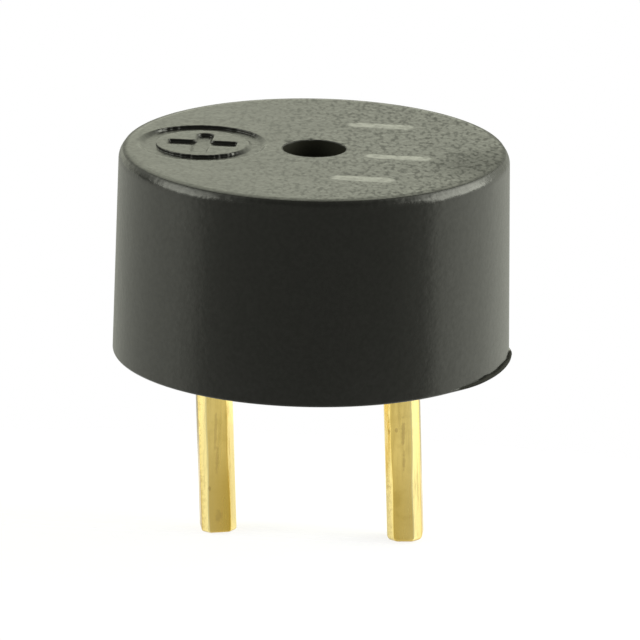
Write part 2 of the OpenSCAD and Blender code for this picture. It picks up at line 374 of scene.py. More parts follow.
def rounded(corners, closed=False, longest=9.0, arc_step=12.0):
    """A line through corners, each a place in the plane and the radius that rounds it.

    The arc starts where a circle of that radius touches the line before the
    corner and ends where it touches the line after it. Straight stretches are
    cut into equal pieces no longer than longest. Gives the points, and the unit
    normals to the right of the line's run, which is outwards where a closed line
    runs anticlockwise.
    """
    corners = np.array(corners, float)
    corners, radii = corners[:, :2], corners[:, 2]
    count = len(corners)
    points, normals = [], []

    def run_to(end, normal):
        """Carry the line straight on from its last point to end."""
        start = points[-1][-1]
        pieces = int(np.ceil(np.linalg.norm(end - start) / longest))
        share = np.arange(1, pieces)[:, None] / max(pieces, 1)
        points.append(start + (end - start) * share)
        normals.append(np.repeat(normal, len(share), axis=0))

    for k in range(count):
        before = corners[k] - corners[k - 1]
        after = corners[(k + 1) % count] - corners[k]
        if not closed and k == 0:
            before = after
        if not closed and k == count - 1:
            after = before
        before, after = before / np.linalg.norm(before), after / np.linalg.norm(after)
        bend = np.arctan2(before[0] * after[1] - before[1] * after[0], before @ after)
        steps = max(int(np.ceil(abs(np.degrees(bend)) / arc_step)), 1) if radii[k] and bend else 0
        angles = np.arctan2(-before[0], before[1]) + np.linspace(0.0, bend, steps + 1)
        normal = np.c_[np.cos(angles), np.sin(angles)]
        arc_r = np.sign(bend) * radii[k]
        start = corners[k] - before * abs(arc_r * np.tan(bend / 2.0))
        arc = start + arc_r * (normal - normal[0])
        if points:
            run_to(arc[0], normal[:1])
        points.append(arc)
        normals.append(normal)
    if closed:
        run_to(points[0][0], normals[-1][-1:])
    return np.vstack(points), np.vstack(normals)


def carried(section, path, outwards):
    """A grid of points: each point (out, z) of a section is carried round a closed path.

    Its place is the path's, plus out times the path's unit normal, at height z.
    """
    out, z = section[:, :1, None], section[:, 1:, None]
    plan = path[None] + out * outwards[None]
    return np.concatenate([plan, np.broadcast_to(z, (*plan.shape[:2], 1))], axis=-1)


def grid_faces(grid):
    """Quads over a grid of points, in rows, whose last column meets its first."""
    rows, columns = grid.shape[:2]
    i, j = np.meshgrid(np.arange(rows - 1), np.arange(columns), indexing="ij")
    a, b = i * columns + j, i * columns + (j + 1) % columns
    return np.stack([a, b, b + columns, a + columns], axis=-1).reshape(-1, 4)


def within(points, loop):
    """Whether each point is inside a closed loop.

    It is where a ray from it towards +X crosses the loop an odd number of times.
    """
    ends = np.roll(loop, -1, axis=0)
    x, y = points[:, :1], points[:, 1:]
    spans = (loop[:, 1] > y) != (ends[:, 1] > y)
    rise = ends[:, 1] - loop[:, 1]
    rise = np.where(rise == 0.0, 1.0, rise)
    crossing = loop[:, 0] + (y - loop[:, 1]) * (ends[:, 0] - loop[:, 0]) / rise
    return (spans & (x < crossing)).sum(axis=1) % 2 == 1


def flat_fill(z, outer, holes=(), spread=0.2):
    """Triangles at height z between an outer loop and the loops of its holes.

    The vertices are those of the loops and an even, staggered scatter between
    them, joined as a Delaunay triangulation.
    """
    loops = [outer, *holes]
    low, high = outer.min(axis=0), outer.max(axis=0)
    row_gap = spread * 0.866  # the height of an even triangle
    clearance = spread * 0.6
    y, x = np.mgrid[low[1]:high[1]:row_gap, low[0]:high[0]:spread]
    x = x + (np.arange(len(x))[:, None] % 2) * spread / 2.0
    scatter = np.c_[x.ravel(), y.ravel()]
    keep = within(scatter, outer)
    for hole in holes:
        keep &= ~within(scatter, hole)
    for loop in loops:
        gaps = np.linalg.norm(scatter[:, None] - loop[None], axis=2)
        keep &= gaps.min(axis=1) >= clearance
    firsts = np.cumsum([0] + [len(loop) for loop in loops[:-1]])
    borders = [
        (first + k, first + (k + 1) % len(loop))
        for first, loop in zip(firsts, loops) for k in range(len(loop))
    ]
    points = np.vstack([*loops, scatter[keep]])
    points, _, faces, _, _, _ = delaunay_2d_cdt(points.tolist(), borders, [], 0, 1e-7)
    points = np.array([point[:] for point in points])
    faces = np.array(faces)
    middle = points[faces].mean(axis=1)
    inside = within(middle, outer)
    for hole in holes:
        inside &= ~within(middle, hole)
    return np.c_[points, np.full(len(points), z)], faces[inside]


WAVES = 9  # that make up the hills


def hills(along, seed, rates):
    """Soft hills of height about 1 along a line: a sum of sines at random rates and phases."""
    pick = np.random.default_rng(seed)
    rate = pick.uniform(*rates, WAVES)
    phase = pick.uniform(0.0, 2.0 * np.pi, WAVES)
    return np.sin(rate * np.asarray(along)[..., None] + phase).sum(axis=-1) * np.sqrt(2.0 / WAVES)


def soft_step(value, low, high):
    """0 below low, 1 above high and a smooth rise between them."""
    share = np.clip((value - low) / (high - low), 0.0, 1.0)
    return share * share * (3.0 - 2.0 * share)


WELD = 0.0004  # how close vertices are that become one
SMOOTH_ANGLE = np.radians(35.0)  # up to which faces meet smoothly


def make_piece(name, patches, material, node):
    """A piece that stands for a CAD node, from patches of points and faces that are welded."""
    data = bpy.data.meshes.new(name)
    vertices, faces, first = [], [], 0
    for points, patch in patches:
        points = np.reshape(points, (-1, 3))
        vertices.append(points)
        faces.extend((np.asarray(patch) + first).tolist())
        first += len(points)
    data.from_pydata((np.vstack(vertices) * MM).tolist(), [], faces)
    shape = bmesh.new()
    shape.from_mesh(data)
    bmesh.ops.remove_doubles(shape, verts=shape.verts, dist=WELD * MM)
    shape.to_mesh(data)
    shape.free()
    data.materials.append(material)
    data.shade_smooth()
    data.set_sharp_from_angle(angle=SMOOTH_ANGLE)
    piece = bpy.data.objects.new(name, data)
    bpy.context.scene.collection.objects.link(piece)
    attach(piece, "root")
    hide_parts(node)
    return piece


# The cup's section, from the roof near the sound hole down through the hole and
# round the inside to the underside of the rim, turned about the axis.
TURN_STEPS = 600
RIM_SEAM = 0.1  # how far inside the rim's edge the inside's grid meets the rim's
turn = np.linspace(0.0, 2.0 * np.pi, TURN_STEPS, endpoint=False)
spokes = np.c_[np.cos(turn), np.sin(turn)]
on_axis = np.zeros((TURN_STEPS, 2))
inside, _ = rounded([
    (HOLE_R + MARGIN, CASE_H, 0.0),
    (HOLE_R, CASE_H, HOLE_EDGE_R),
    (HOLE_R, CASE_H - ROOF, HOLE_FOOT_R),
    (chamber_r, CASE_H - ROOF, CHAMBER_CORNER_R),
    (chamber_r, LEDGE_Z, 0.0),
    (bore_r, LEDGE_Z, BORE_CORNER_R),
    (bore_r, MOUTH_CHAMFER, 0.0),
    (bore_r + MOUTH_CHAMFER, 0.0, 0.0),
    (RIM_R - RIM_SEAM, 0.0, 0.0),
], longest=0.9)
cup_inside = carried(inside, on_axis, spokes)

# The back of the sound hole's edge is a little chipped: its points sink by hills
# that are cut off at zero, and those away from the edge stay.
CHIP_DEPTH = 0.014
CHIP_REACH = (0.02, MARGIN)  # from the edge, where chips are whole and where they end
CHIP_SPAN = (0.1, 0.6)  # Y, in radii of the hole, where they start and are whole
CHIP_CAP = 1.2
chips = np.clip(hills(turn * HOLE_R, seed=8, rates=(6.0, 30.0)), 0.0, CHIP_CAP)
chips *= soft_step(spokes[:, 1], *CHIP_SPAN)
from_edge = np.linalg.norm(inside - (HOLE_R, CASE_H), axis=1)
cup_inside[..., 2] -= CHIP_DEPTH * chips * (1.0 - soft_step(from_edge, *CHIP_REACH))[:, None]

# The rim, with the flash: each of its rows stands at a share of the flash's
# height and is drawn out by a share of its reach, and both waver along the rim.
# The shares go round a half circle, and a power of the sine makes it fuller.
RIM_EDGE_R = 0.06
FLASH_REACH = 0.066
FLASH_H = 0.105
FLASH_SPAN = (-40.0, -26.0, 4.0, 14.0)  # degrees where it starts, is whole, falls and ends
FLASH_FROM = 0.012  # how far outside the rim its faces start
FLASH_POWER = 0.6
REACH_WAVER = 0.05
HEIGHT_WAVER = 0.08
BARE_ROWS = 0.6  # height of the rows beside the flash, as a share of its own
ROW_ABOVE = 1.2  # height of the row above the flash, as a share of its own
bead = np.radians(np.linspace(0.0, 180.0, 13))
flash_out = np.r_[0.0, np.sin(bead) ** FLASH_POWER, 0.0]
flash_up = np.r_[0.0, (1.0 - np.cos(bead)) / 2.0, ROW_ABOVE]
degrees = (np.degrees(turn) + 180.0) % 360.0 - 180.0
along_rim = np.radians(degrees) * RIM_R
span = soft_step(degrees, *FLASH_SPAN[:2]) * (1.0 - soft_step(degrees, *FLASH_SPAN[2:]))
reach = 1.0 + REACH_WAVER * hills(along_rim, seed=5, rates=(1.5, 6.0))
reach *= FLASH_REACH * span
height = 1.0 + HEIGHT_WAVER * span * hills(along_rim, seed=6, rates=(2.0, 14.0))
height *= FLASH_H * (BARE_ROWS + (1.0 - BARE_ROWS) * span)
rim_z = flash_up[:, None] * height
left_over = np.clip(RIM_EDGE_R - rim_z, 0.0, None)
rounding = (RIM_EDGE_R - np.sqrt(RIM_EDGE_R**2 - left_over**2)) * (1.0 - span)
rim_r = RIM_R - rim_z * DRAFT - rounding + flash_out[:, None] * reach
rim_r[0] = RIM_R - RIM_SEAM
rim = np.stack([rim_r * spokes[:, 0], rim_r * spokes[:, 1], rim_z], axis=-1)

# The outside, from above the flash over the bevel to the roof.
SIDE_FOOT = 0.2
outside, _ = rounded([
    (RIM_R - SIDE_FOOT * DRAFT, SIDE_FOOT, 0.0),
    (bevel_r, bevel_z, BEVEL_FOOT_R),
    (roof_r, CASE_H - ROLL_OFF, BEVEL_TOP_R),
    (roof_r - ROLL_W, CASE_H, ROLL_R),
    (roof_r - ROLL_W - ROLL_MARGIN, CASE_H, 0.0),
], longest=0.3, arc_step=3.0)
cup_outside = np.concatenate([rim, carried(outside, on_axis, spokes)])

# The polarity mark's ring is a section turned about the mark's own centre. Its
# edges are a little uneven, as spark erosion leaves them, and its walls lean at
# the two ends that lie along X.
MARK_R = 1.46
MARK_W = 0.42
MARK_DEPTH = 0.07
MARK_X = -2.56
MARK_EDGE_R = 0.02  # of a groove's edges and of the corners at its floor
RING_STEPS = 360
RING_WAVER = 0.006
RIM_END_LEAN = 0.12  # of the outer wall, at the end near the rim
HOLE_END_LEAN = 0.1  # of both walls, at the end near the sound hole
END_SPAN = (0.9, 0.4)  # radians to either side of an end where a lean starts and is whole
mark_floor = CASE_H - MARK_DEPTH
ring_turn = np.linspace(0.0, 2.0 * np.pi, RING_STEPS, endpoint=False)
ring_spokes = np.c_[np.cos(ring_turn), np.sin(ring_turn)]
ring_centre = np.tile([MARK_X, 0.0], (RING_STEPS, 1))
ring_section, _ = rounded([
    (MARK_R + MARGIN, CASE_H, 0.0),
    (MARK_R, CASE_H, MARK_EDGE_R),
    (MARK_R, mark_floor, MARK_EDGE_R),
    (MARK_R - MARK_W, mark_floor, MARK_EDGE_R),
    (MARK_R - MARK_W, CASE_H, MARK_EDGE_R),
    (MARK_R - MARK_W - MARGIN, CASE_H, 0.0),
], longest=0.2, arc_step=18.0)
ring = carried(ring_section, ring_centre, ring_spokes)
from_rim_end = np.abs(ring_turn - np.pi)
rim_end = soft_step(from_rim_end, *END_SPAN)
hole_end = soft_step(np.pi - from_rim_end, *END_SPAN)
waver = RING_WAVER * hills(ring_turn * MARK_R, seed=12, rates=(8.0, 40.0))
waver *= (1.0 - rim_end) * (1.0 - hole_end)
ring[1:-1, :, :2] += waver[:, None] * ring_spokes
outer_wall = ring_section[:, :1] > MARK_R - MARK_W / 2.0
lean = HOLE_END_LEAN * hole_end
lean = np.where(outer_wall, -RIM_END_LEAN * rim_end - lean, lean)
sunk = (CASE_H - ring_section[:, 1:]) / MARK_DEPTH
ring[..., :2] += (sunk * lean)[..., None] * ring_spokes

# The plus sign's wall is a section carried round its outline, and leans where it
# faces along X. A quarter of the outline is the two corners of an arm's end and
# the crook after them, and four turns of it make the whole.
PLUS_BAR = 1.6
PLUS_X_END_R = 0.1  # of the corners of the arms along X
PLUS_Y_END_R = 0.19
PLUS_CROOK_R = 0.07
PLUS_LEAN = 0.07
arm, half = PLUS_BAR / 2.0, MARK_W / 2.0
plus_corners = []
for (c, s), end_r in zip([(1, 0), (0, 1), (-1, 0), (0, -1)], [PLUS_X_END_R, PLUS_Y_END_R] * 2):
    for x, y, r in [(arm, -half, end_r), (arm, half, end_r), (half, half, PLUS_CROOK_R)]:
        plus_corners.append((MARK_X + c * x - s * y, s * x + c * y, r))
plus_path, plus_normals = rounded(plus_corners, closed=True, longest=0.06)
plus_section, _ = rounded([
    (MARGIN, CASE_H, 0.0),
    (0.0, CASE_H, MARK_EDGE_R),
    (0.0, mark_floor, MARK_EDGE_R),
    (-MARGIN, mark_floor, 0.0),
], arc_step=18.0)
plus = carried(plus_section, plus_path, plus_normals)
sunk = (CASE_H - plus_section[:, 1:]) / MARK_DEPTH
plus[..., :2] -= (sunk * PLUS_LEAN * plus_normals[:, 0] ** 4)[..., None] * plus_normals

# The flat parts: the roof, the island inside the ring and the floor of the plus sign.
roof = flat_fill(CASE_H, cup_outside[-1, :, :2], [cup_inside[0, :, :2], ring[0, :, :2]])
island = flat_fill(CASE_H, ring[-1, :, :2], [plus[0, :, :2]], spread=0.1)
plus_floor = flat_fill(mark_floor, plus[-1, :, :2], spread=0.08)


def noise(tree, vector, scale, detail=2.0, roughness=0.5, stretch=(1.0, 1.0, 1.0)):
    """Noise between 0 and 1 about 0.5, with scale features to a millimetre."""
    stretched = add(tree, "ShaderNodeMapping", {"Vector": vector, "Scale": stretch}).outputs[0]
    inputs = {"Vector": stretched, "Scale": scale, "Detail": detail, "Roughness": roughness}
    return add(tree, "ShaderNodeTexNoise", inputs).outputs["Fac"]


def swing(tree, *settings):
    """The same noise, brought down to between -0.5 and 0.5."""
    return math(tree, "SUBTRACT", noise(tree, *settings), 0.5)


def surface(tree, relief=None, **inputs):
    """A Principled surface with the given inputs, and relief in millimetres as its bump."""
    inputs = {name.replace("_", " "): value for name, value in inputs.items()}
    if relief is not None:
        bump = add(tree, "ShaderNodeBump", {"Height": relief, "Distance": MM})
        inputs["Normal"] = bump.outputs[0]
    shader = add(tree, "ShaderNodeBsdfPrincipled", inputs)
    add(tree, "ShaderNodeOutputMaterial", {"Surface": shader.outputs[0]})


# Black plastic: nearly all of its light is reflection. The roof is pitted by
# spark erosion of the mould, more coarsely towards the right, and carries
# three printed bars. The side is satin with faint ripples.
BLACK = (0.006, 0.006, 0.0052, 1.0)
PLASTIC_IOR = 1.45
INK_COLOUR = (0.26, 0.26, 0.245, 1.0)
INK_BARS = [  # X and Y of the middle, half-length and half-width of each
    (1.26, 2.13, 0.74, 0.19), (1.95, -0.43, 0.76, 0.17), (1.37, -2.32, 0.72, 0.2),
]
INK_EDGE = (0.06, -0.08)  # from a bar's edge, where ink starts and is whole
INK_RAGGED = 0.16  # how far its edge strays
TOP_UP = (CASE_H - 0.13, CASE_H - 0.11)  # heights where the roof's finish starts and is whole
TOP_IN = (roof_r + 0.02, roof_r - 0.12)  # radii where it starts and is whole
TOP_HOLE = (HOLE_R + 0.01, HOLE_R + 0.05)  # radii where it ends at the hole and is whole
BEVEL_UP = (CASE_H - 0.22, CASE_H - 0.12)  # heights where the bevel's finish starts, is whole
BEVEL_MATT = (CASE_H - 0.19, CASE_H - 0.1)  # heights between which the side gets rougher
FOLD_MATT = (CASE_H - 0.07, CASE_H - 0.03)  # and then once more
COARSER = (-3.2, 2.6)  # X where the grain is faintest and where it is strongest
COARSER_TURN = 0.1  # share of Y that adds to that X
FAINTEST = 0.3
GRAIN_TURN = np.radians(-6.5)  # of the grain, which is longer along Y than along X
GRAIN_STRETCH = (1.5, 0.8, 1.0)
PIT_STRETCH = (1.6, 0.8, 1.0)
PIT_RANGE = (0.42, 0.74)  # of the noise, where pits start and are whole
DULL_X, DULL_Y = 4.1, -0.7  # the middle of where the roof is rubbed dull
DULL_REACH = (1.8, 0.5)  # from it, where that starts and is whole
GRAIN_RELIEF = 0.011
WARP_RELIEF = 0.05
RIPPLE_RELIEF = 0.009
FINE_RELIEF = 0.003
KNOCK_RELIEF = 0.016
ROOF_ROUGHNESS = (0.28, 0.47)  # between the pits, and in them
DULL_ROUGHER = 0.13
INK_ROUGHNESS = 0.34
SIDE_ROUGHNESS = (0.2, 0.24)
BEVEL_ROUGHER = 0.08
FOLD_ROUGHER = 0.2
SPECULAR_RANGE = (0.46, 0.54)


def plastic_waves(tree, millimetres):
    """The plastic's fine unevenness and its wider ripples, both as noise."""
    return noise(tree, millimetres, 9.0), noise(tree, millimetres, 1.6, 3.0, 0.55)


case_plastic, tree = new_material("case_plastic")
millimetres = object_mm(tree)
x, y, z = xyz(tree, millimetres)
radius = hypotenuse(tree, x, y)
on_top = product(
    tree,
    ramp(tree, z, *TOP_UP),
    ramp(tree, radius, *TOP_IN),
    ramp(tree, radius, *TOP_HOLE),
)
on_bevel = math(tree, "SUBTRACT", ramp(tree, z, *BEVEL_UP), on_top, clamp=True)
coarser = ramp(tree, total(tree, x, product(tree, y, COARSER_TURN)), *COARSER, FAINTEST, 1.0)
along_grain = turned_about_z(tree, millimetres, GRAIN_TURN)
grain = swing(tree, along_grain, 6.8, 1.0, 0.4, GRAIN_STRETCH)
pits = ramp(tree, noise(tree, along_grain, 7.0, 1.0, 0.4, PIT_STRETCH), *PIT_RANGE)
warp = swing(tree, millimetres, 0.35, 1.0, 0.4)
knocks = swing(tree, millimetres, 3.6)
fine, ripple = plastic_waves(tree, millimetres)
relief = total(
    tree,
    product(tree, grain, coarser, on_top, GRAIN_RELIEF),
    product(tree, ripple, RIPPLE_RELIEF),
    product(tree, warp, on_top, WARP_RELIEF),
    product(tree, fine, FINE_RELIEF),
    product(tree, knocks, on_bevel, KNOCK_RELIEF),
)
ragged = product(tree, swing(tree, millimetres, 6.0, 3.0, 0.6), INK_RAGGED)
printed = 0.0
for bar_x, bar_y, half_length, half_width in INK_BARS:
    beyond = math(tree, "SUBTRACT", away_from(tree, x, bar_x), half_length - half_width)
    beyond = math(tree, "MAXIMUM", beyond, 0.0)
    apart = hypotenuse(tree, beyond, away_from(tree, y, bar_y))
    apart = total(tree, math(tree, "SUBTRACT", apart, half_width), ragged)
    printed = math(tree, "MAXIMUM", printed, ramp(tree, apart, *INK_EDGE))
thin = ramp(tree, noise(tree, millimetres, 4.0, 3.0, 0.6), 0.3, 0.6, 0.5, 1.0)
printed = product(tree, printed, thin, on_top)
from_dull = hypotenuse(tree, away_from(tree, x, DULL_X), away_from(tree, y, DULL_Y))
dull = ramp(tree, from_dull, *DULL_REACH)
roof_roughness = mix(tree, product(tree, pits, coarser), *ROOF_ROUGHNESS)
roof_roughness = total(tree, roof_roughness, product(tree, dull, DULL_ROUGHER))
roof_roughness = mix(tree, printed, roof_roughness, INK_ROUGHNESS)
side_roughness = total(
    tree,
    ramp(tree, fine, 0.3, 0.7, *SIDE_ROUGHNESS),
    ramp(tree, z, *BEVEL_MATT, 0.0, BEVEL_ROUGHER),
    ramp(tree, z, *FOLD_MATT, 0.0, FOLD_ROUGHER),
)
glints = noise(tree, millimetres, 10.0, 2.0, 0.6)
surface(
    tree, relief,
    Base_Color=mix_colour(tree, printed, BLACK, INK_COLOUR),
    IOR=PLASTIC_IOR,
    Specular_IOR_Level=ramp(tree, glints, 0.3, 0.7, *SPECULAR_RANGE),
    Roughness=mix(tree, on_top, side_roughness, roof_roughness),
)

# Down the sound hole the mould isn't polished, and flash is torn where the
# mould's halves met, so both are dull. The hole's wall is also painted lighter
# than the case's black: painted light in the recess.
DULL_IOR = 1.2
hole_plastic, tree = new_material("hole_plastic")
fine, ripple = plastic_waves(tree, object_mm(tree))
relief = total(tree, product(tree, ripple, RIPPLE_RELIEF), product(tree, fine, FINE_RELIEF))
# painted light: lighter than the case's black, down the hole
surface(tree, relief, Base_Color=(0.02, 0.02, 0.015, 1.0), IOR=DULL_IOR, Roughness=0.4)
torn_plastic, tree = new_material("torn_plastic")
relief = product(tree, noise(tree, object_mm(tree), 14.0, 3.0, 0.6), 0.03)
surface(tree, relief, Base_Color=(0.02, 0.02, 0.017, 1.0), IOR=DULL_IOR, Roughness=0.8)

patches = [(grid, grid_faces(grid)) for grid in (cup_inside, cup_outside, ring, plus)]
patches += [roof, island, plus_floor]
case = make_piece("moulded_case", patches, case_plastic, "case")
case.data.materials.append(torn_plastic)
case.data.materials.append(hole_plastic)
centres = np.empty(3 * len(case.data.polygons))
case.data.polygons.foreach_get("center", centres)
centres = centres.reshape(-1, 3) / MM
from_axis = np.linalg.norm(centres[:, :2], axis=1)
in_flash = from_axis > RIM_R + FLASH_FROM
in_hole = (from_axis < HOLE_R + HOLE_EDGE_R) & (centres[:, 2] < CASE_H - HOLE_EDGE_R)
slots = (in_flash + 2 * in_hole).astype(np.int32)
case.data.polygons.foreach_set("material_index", slots)

# ---------------------------------------------------------------------------
# Pins: square drawn wire with a flat along each corner, gold plated, with the
# tip's edges softened by the cut and the barrel plating. They go through the
# board, where they are soldered, and the resin holds them.
# ---------------------------------------------------------------------------

PIN_PITCH = 4.3
PIN_W = 0.8
PIN_CUT = 0.17  # what a flat takes off each side
PIN_CUT_RANGE = (-0.008, 0.012)  # how much narrower and wider a flat gets along the wire
PIN_EDGE_R = 0.06
PIN_TOP = 1.15
PIN_TOP_R = 0.05
PIN_LENGTH = 4.35
PIN_END_R = 0.12  # of the cap that closes an end
PIN_LEAN = np.radians(2.6)
POSITIVE_TURN = np.radians(13.0)  # about its own length
NEGATIVE_TURN = np.radians(2.0)
CUT_WAVER = 0.4  # how far the flats go from middling towards narrow or wide
FLAT_FADE = (0.85, 0.98)  # shares of the half width where a flat's finish starts, is whole

# Bright gold, with painted shade that darkens it towards the tips, and draw lines along the
# wire, faint cloudiness, and a few rubbed spots and scratches.
GOLD = (1.0, 0.74, 0.225, 1.0)
FLAT_GOLD = (0.9, 0.765, 0.375, 1.0)
# the darker gold of random wear, and of the painted shade towards the tips
WORN_AND_SHADED_GOLD = (0.63, 0.43, 0.08, 1.0)
DRAWN_GOLD = (0.7, 0.5, 0.12, 1.0)
DEEP_SHADE_GOLD = (0.55, 0.33, 0.01, 1.0)  # painted shade on the positive pin, growing towards its tip
# the colour of the rubbed spots and scratches, and of painted shade on the pins' left sides
STAIN_AND_SHADE = (0.36, 0.25, 0.09, 1.0)
MARKS_AND_SHADES = [  # X, Z, half-width and half-height of each, and how dark it is
    (-2.1, -1.95, 0.03, 0.5, 0.3), (-2.06, -2.55, 0.035, 0.35, 0.3),
    (-2.21, -3.28, 0.03, 0.06, 0.5), (-2.0, -3.93, 0.07, 0.12, 0.3),
    (2.19, -1.75, 0.04, 0.3, 0.4), (2.22, -2.4, 0.03, 0.25, 0.35),
    (2.03, -1.67, 0.03, 0.05, 0.4), (1.86, -1.72, 0.035, 0.08, 0.5),
    # the last three are no stains but painted shade over the left-hand sides of the pins, lower
    # down
    (-2.65, -2.0, 0.17, 1.6, 0.4), (-2.5, -4.0, 0.17, 1.2, 0.35), (1.76, -4.0, 0.17, 1.2, 0.35),
]
MARK_RAGGED = 2.4
MARK_EDGE = (1.3, 0.6)  # from a mark's middle, in its half sizes, where it starts and is whole
TIP_SHADE = (-1.6, -3.2)  # heights where the painted shade of the tip starts and is whole
TIP_CLOUDY = 0.8  # how far clouds shift that
DEEP_SHADE_SIDE = (0.5, -0.5)  # X where that painted shade starts and is whole
DEEP_SHADE_DOWN = (-1.0, -4.4)  # heights between which its share grows
DEEP_SHADE_SHARE = (0.08, 0.52)
LINE_RELIEF = 0.008
WAVE_RELIEF = 0.014

gold, tree = new_material("gold_plate")
millimetres = object_mm(tree)
x, _, z = xyz(tree, millimetres)
clouds = noise(tree, millimetres, 2.2, 3.0, 0.6)
lines = noise(tree, millimetres, 9.0, 3.0, 0.6, (1.0, 1.0, 0.07))
waves = noise(tree, millimetres, 3.5, 2.0, 0.5, (1.0, 1.0, 0.5))
drawn = noise(tree, millimetres, 13.0, 3.0, 0.65, (1.0, 1.0, 0.06))
ragged = product(tree, swing(tree, millimetres, 11.0, 3.0, 0.7), MARK_RAGGED)
stain_and_shade = 0.0
# rubbed spots and scratches, and painted shade on the pins' left sides
for mark_x, mark_z, half_width, half_height, darkness in MARKS_AND_SHADES:
    across = product(tree, away_from(tree, x, mark_x), 1.0 / half_width)
    along = product(tree, away_from(tree, z, mark_z), 1.0 / half_height)
    apart = total(tree, hypotenuse(tree, across, along), ragged)
    stain_and_shade = math(tree, "MAXIMUM", stain_and_shade, ramp(tree, apart, *MARK_EDGE, 0.0, darkness))
# painted shade: the pins darken towards their tips, and clouds of real wear add to it
tip_shade = ramp(tree, total(tree, z, product(tree, clouds, TIP_CLOUDY)), *TIP_SHADE, 0.0, 0.8)
wear_and_tip_shade = math(tree, "ADD", tip_shade, ramp(tree, clouds, 0.45, 0.7, 0.0, 0.35), clamp=True)
# painted shade on the positive pin, deeper towards its tip
deep_shade = product(tree, ramp(tree, x, *DEEP_SHADE_SIDE), ramp(tree, z, *DEEP_SHADE_DOWN, *DEEP_SHADE_SHARE))
flat = add(tree, "ShaderNodeAttribute", attribute_name="flat").outputs["Fac"]
colour = mix_colour(tree, wear_and_tip_shade, GOLD, WORN_AND_SHADED_GOLD)
colour = mix_colour(tree, ramp(tree, drawn, 0.42, 0.66, 0.0, 0.5), colour, DRAWN_GOLD)
colour = mix_colour(tree, deep_shade, colour, DEEP_SHADE_GOLD)
colour = mix_colour(tree, product(tree, flat, 0.95), colour, FLAT_GOLD)
colour = mix_colour(tree, stain_and_shade, colour, STAIN_AND_SHADE)
relief = total(tree, product(tree, lines, LINE_RELIEF), product(tree, waves, WAVE_RELIEF))
roughness = ramp(tree, lines, 0.35, 0.7, 0.16, 0.28)
surface(tree, relief, Base_Color=colour, Metallic=1.0, Roughness=roughness)


def pin_outline(cut):
    """The outline of a pin whose flats each take cut off its sides: a closed path, and normals."""
    half, straight = PIN_W / 2.0, PIN_W / 2.0 - cut
    octagon = [
        (half, -straight), (half, straight), (straight, half), (-straight, half),
        (-half, straight), (-half, -straight), (-straight, -half), (straight, -half),
    ]
    return rounded([(*corner, PIN_EDGE_R) for corner in octagon], closed=True, arc_step=9.0)


def turn_matrix(angle):
    """The matrix that turns a column of two coordinates by an angle."""
    return np.array([[np.cos(angle), -np.sin(angle)], [np.sin(angle), np.cos(angle)]])


def in_place(points, side, turn_angle):
    """Points of an upright pin, turned about its own axis, leant about its middle, at its side."""
    points = points + (0.0, 0.0, PIN_LENGTH / 2.0)
    points[:, :2] = points[:, :2] @ turn_matrix(turn_angle).T
    points[:, ::2] = points[:, ::2] @ turn_matrix(PIN_LEAN).T
    return points + (side * PIN_PITCH / 2.0, 0.0, -PIN_LENGTH / 2.0)


def pin(name, node, side, turn_angle, tip_r, seed):
    """A pin: its outline carried up a profile that draws in at both ends.

    The outline at each height lies between the one with the narrowest flats and
    the one with the widest, at a share that wavers along each of the four flats.
    """
    (narrow, normals), (wide, _) = (pin_outline(PIN_CUT + change) for change in PIN_CUT_RANGE)
    half = PIN_W / 2.0
    profile, _ = rounded([
        (PIN_END_R, -PIN_LENGTH, 0.0),
        (half, -PIN_LENGTH, tip_r),
        (half, PIN_TOP, PIN_TOP_R),
        (PIN_END_R, PIN_TOP, 0.0),
    ], longest=0.12, arc_step=10.0)
    swell, rises = profile[:, 0] / half, profile[:, 1]
    corner = np.arange(len(narrow)) * 4 // len(narrow)
    waver = np.stack([hills(rises, seed + k, rates=(0.5, 4.0)) for k in range(4)], axis=-1)
    share = 0.5 + CUT_WAVER * waver[:, corner, None]
    plan = (narrow + (wide - narrow) * share) * swell[:, None, None]
    heights = np.broadcast_to(rises[:, None, None], (*plan.shape[:2], 1))
    grid = np.concatenate([plan, heights], axis=-1)
    points = in_place(grid.reshape(-1, 3), side, turn_angle)
    cap = np.arange(len(narrow))[None]
    ends = [(points[:cap.size], cap[:, ::-1]), (points[-cap.size:], cap)]
    piece = make_piece(name, [(points, grid_faces(grid)), *ends], gold, node)
    on_side = soft_step(swell, *FLAT_FADE)
    flat = (on_side[:, None] * (2.0 * normals[:, 0] * normals[:, 1]) ** 2).ravel()
    layer = piece.data.attributes.new("flat", "FLOAT", "POINT")
    layer.data.foreach_set("value", flat[:len(piece.data.vertices)])


pin("positive_pin", "pin_positive", -1.0, POSITIVE_TURN, tip_r=0.08, seed=20)
pin("negative_pin", "pin_negative", 1.0, NEGATIVE_TURN, tip_r=0.15, seed=30)

# ---------------------------------------------------------------------------
# The sealing resin: black epoxy poured into the mouth round the pins. It wets
# the case and the pins, so that its face climbs a little at both.
# ---------------------------------------------------------------------------

RESIN_FACE = 0.11
RESIN_BACK = 0.45
CLIMB = 0.07
CLIMB_WIDTH = 0.28
CASE_GAP = 0.01
PIN_GAP = 0.002

resin, tree = new_material("sealing_resin")
millimetres = object_mm(tree)
relief = total(
    tree,
    product(tree, noise(tree, millimetres, 0.9), 0.05),
    product(tree, noise(tree, millimetres, 6.0, 3.0, 0.6), 0.004),
)
roughness = ramp(tree, noise(tree, millimetres, 1.4, 3.0), 0.35, 0.7, 0.1, 0.24)
surface(tree, relief, Base_Color=(0.012, 0.011, 0.01, 1.0), IOR=1.55, Roughness=roughness)


